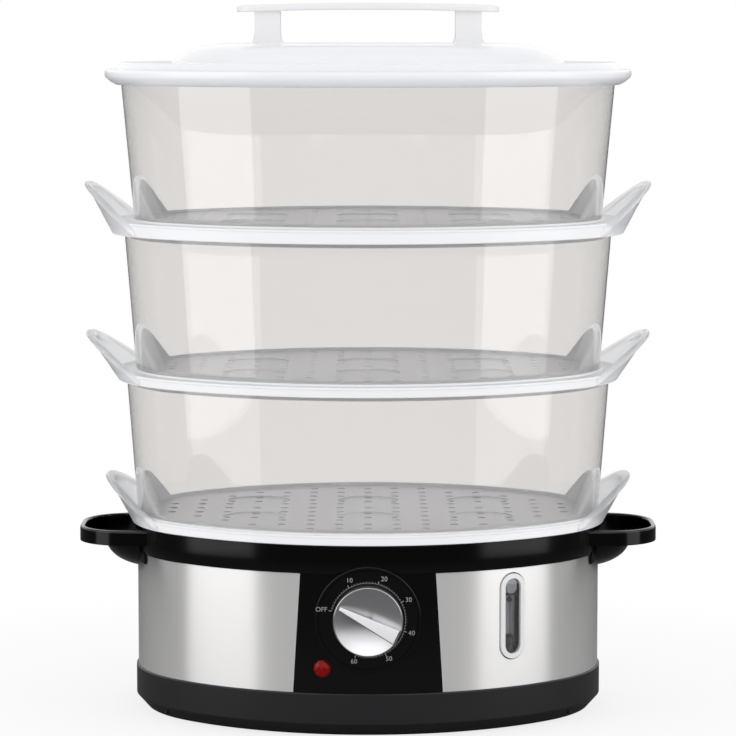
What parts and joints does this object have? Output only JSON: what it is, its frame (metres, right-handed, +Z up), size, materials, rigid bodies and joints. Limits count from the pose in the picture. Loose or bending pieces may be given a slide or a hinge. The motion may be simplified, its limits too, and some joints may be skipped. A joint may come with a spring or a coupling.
{
  "type": "electric food steamer",
  "caption": "Oval electric food steamer: black base with a brushed steel band, dial timer and water gauge, under stacked clear tiers on white trays and a domed lid.",
  "frame": {"origin": "on the table, under the middle of the base", "axes": "+Z up, front with the dial towards -Y, +X to the right seen from the front"},
  "size_m": [0.332, 0.2352, 0.4036],
  "materials": {
    "housing": "satin moulded",
    "bottom_plate": "matte moulded",
    "feet": "matte",
    "screws": "zinc plated",
    "steel_wrap": "brushed",
    "rim_band": "gloss",
    "water_tank": "satin moulded",
    "heater": "satin cast",
    "gasket": "matte",
    "thermostat": "satin",
    "fuse": "gloss",
    "terminal_block": "satin",
    "wiring": "satin",
    "timer_body": "satin moulded",
    "timer_shaft": "satin",
    "knob": "brushed",
    "control_panel": "gloss",
    "dial_plate": "satin",
    "lamp_lens": "translucent gloss",
    "lamp_holder": "satin",
    "gauge_window": "clear gloss",
    "gauge_channel": "satin",
    "gauge_float": "satin",
    "gauge_hoses": "satin",
    "cord_gland": "matte",
    "steam_ring": "satin",
    "drip_tray": "translucent satin",
    "trays": "translucent satin",
    "walls": "clear gloss",
    "lid": "translucent gloss",
    "lid_handle": "satin"
  },
  "bodies": {
    "base": {"housing": "housing", "inner_shell": "housing", "bottom_plate": "bottom_plate", "feet": "feet", "bottom_screws": "screws", "steel_wrap": "steel_wrap", "rim_band": "rim_band", "fill_handles": "rim_band", "water_tank": "water_tank", "heater": "heater", "heater_gasket": "gasket", "heater_clamp": "screws", "heater_screws": "screws", "thermostat": "thermostat", "thermal_fuse": "fuse", "terminal_block": "terminal_block", "wiring": "wiring", "timer_body": "timer_body", "timer_screws": "screws", "control_panel": "control_panel", "dial_plate": "dial_plate", "lamp_lens": "lamp_lens", "lamp_holder": "lamp_holder", "gauge_window": "gauge_window", "gauge_channel": "gauge_channel", "gauge_hoses": "gauge_hoses", "cord_gland": "cord_gland"},
    "knob": {"timer_knob": "knob", "timer_shaft": "timer_shaft"},
    "float": {"gauge_float": "gauge_float"},
    "steam_ring": {"steam_ring": "steam_ring"},
    "drip_tray": {"drip_tray": "drip_tray"},
    "tray_1": {"tray_1": "trays"},
    "wall_1": {"wall_1": "walls"},
    "tray_2": {"tray_2": "trays"},
    "wall_2": {"wall_2": "walls"},
    "tray_3": {"tray_3": "trays"},
    "wall_3": {"wall_3": "walls"},
    "lid": {"lid": "lid", "lid_handle": "lid_handle", "handle_screws": "screws"}
  },
  "joints": [
    {"name": "knob_turn", "type": "hinge", "parent": "base", "child": "knob", "pos_m": [0, -0.104, 0.067], "axis": [0, 1, 0], "range_deg": [-12, 263]},
    {"name": "float_rise", "type": "slide", "parent": "base", "child": "float", "axis": [0, 0, 1], "range_m": [0, 0.03]},
    {"name": "steam_ring_lift", "type": "slide", "parent": "base", "child": "steam_ring", "axis": [0, 0, 1], "range_m": [0, 0.06]},
    {"name": "drip_tray_lift", "type": "slide", "parent": "steam_ring", "child": "drip_tray", "axis": [0, 0, 1], "range_m": [0, 0.04]},
    {"name": "tray_1_lift", "type": "slide", "parent": "drip_tray", "child": "tray_1", "axis": [0, 0, 1], "range_m": [0, 0.05]},
    {"name": "wall_1_lift", "type": "slide", "parent": "tray_1", "child": "wall_1", "axis": [0, 0, 1], "range_m": [0, 0.06]},
    {"name": "tray_2_lift", "type": "slide", "parent": "wall_1", "child": "tray_2", "axis": [0, 0, 1], "range_m": [0, 0.05]},
    {"name": "wall_2_lift", "type": "slide", "parent": "tray_2", "child": "wall_2", "axis": [0, 0, 1], "range_m": [0, 0.06]},
    {"name": "tray_3_lift", "type": "slide", "parent": "wall_2", "child": "tray_3", "axis": [0, 0, 1], "range_m": [0, 0.05]},
    {"name": "wall_3_lift", "type": "slide", "parent": "tray_3", "child": "wall_3", "axis": [0, 0, 1], "range_m": [0, 0.06]},
    {"name": "lid_lift", "type": "slide", "parent": "wall_3", "child": "lid", "axis": [0, 0, 1], "range_m": [0, 0.08]}
  ]
}
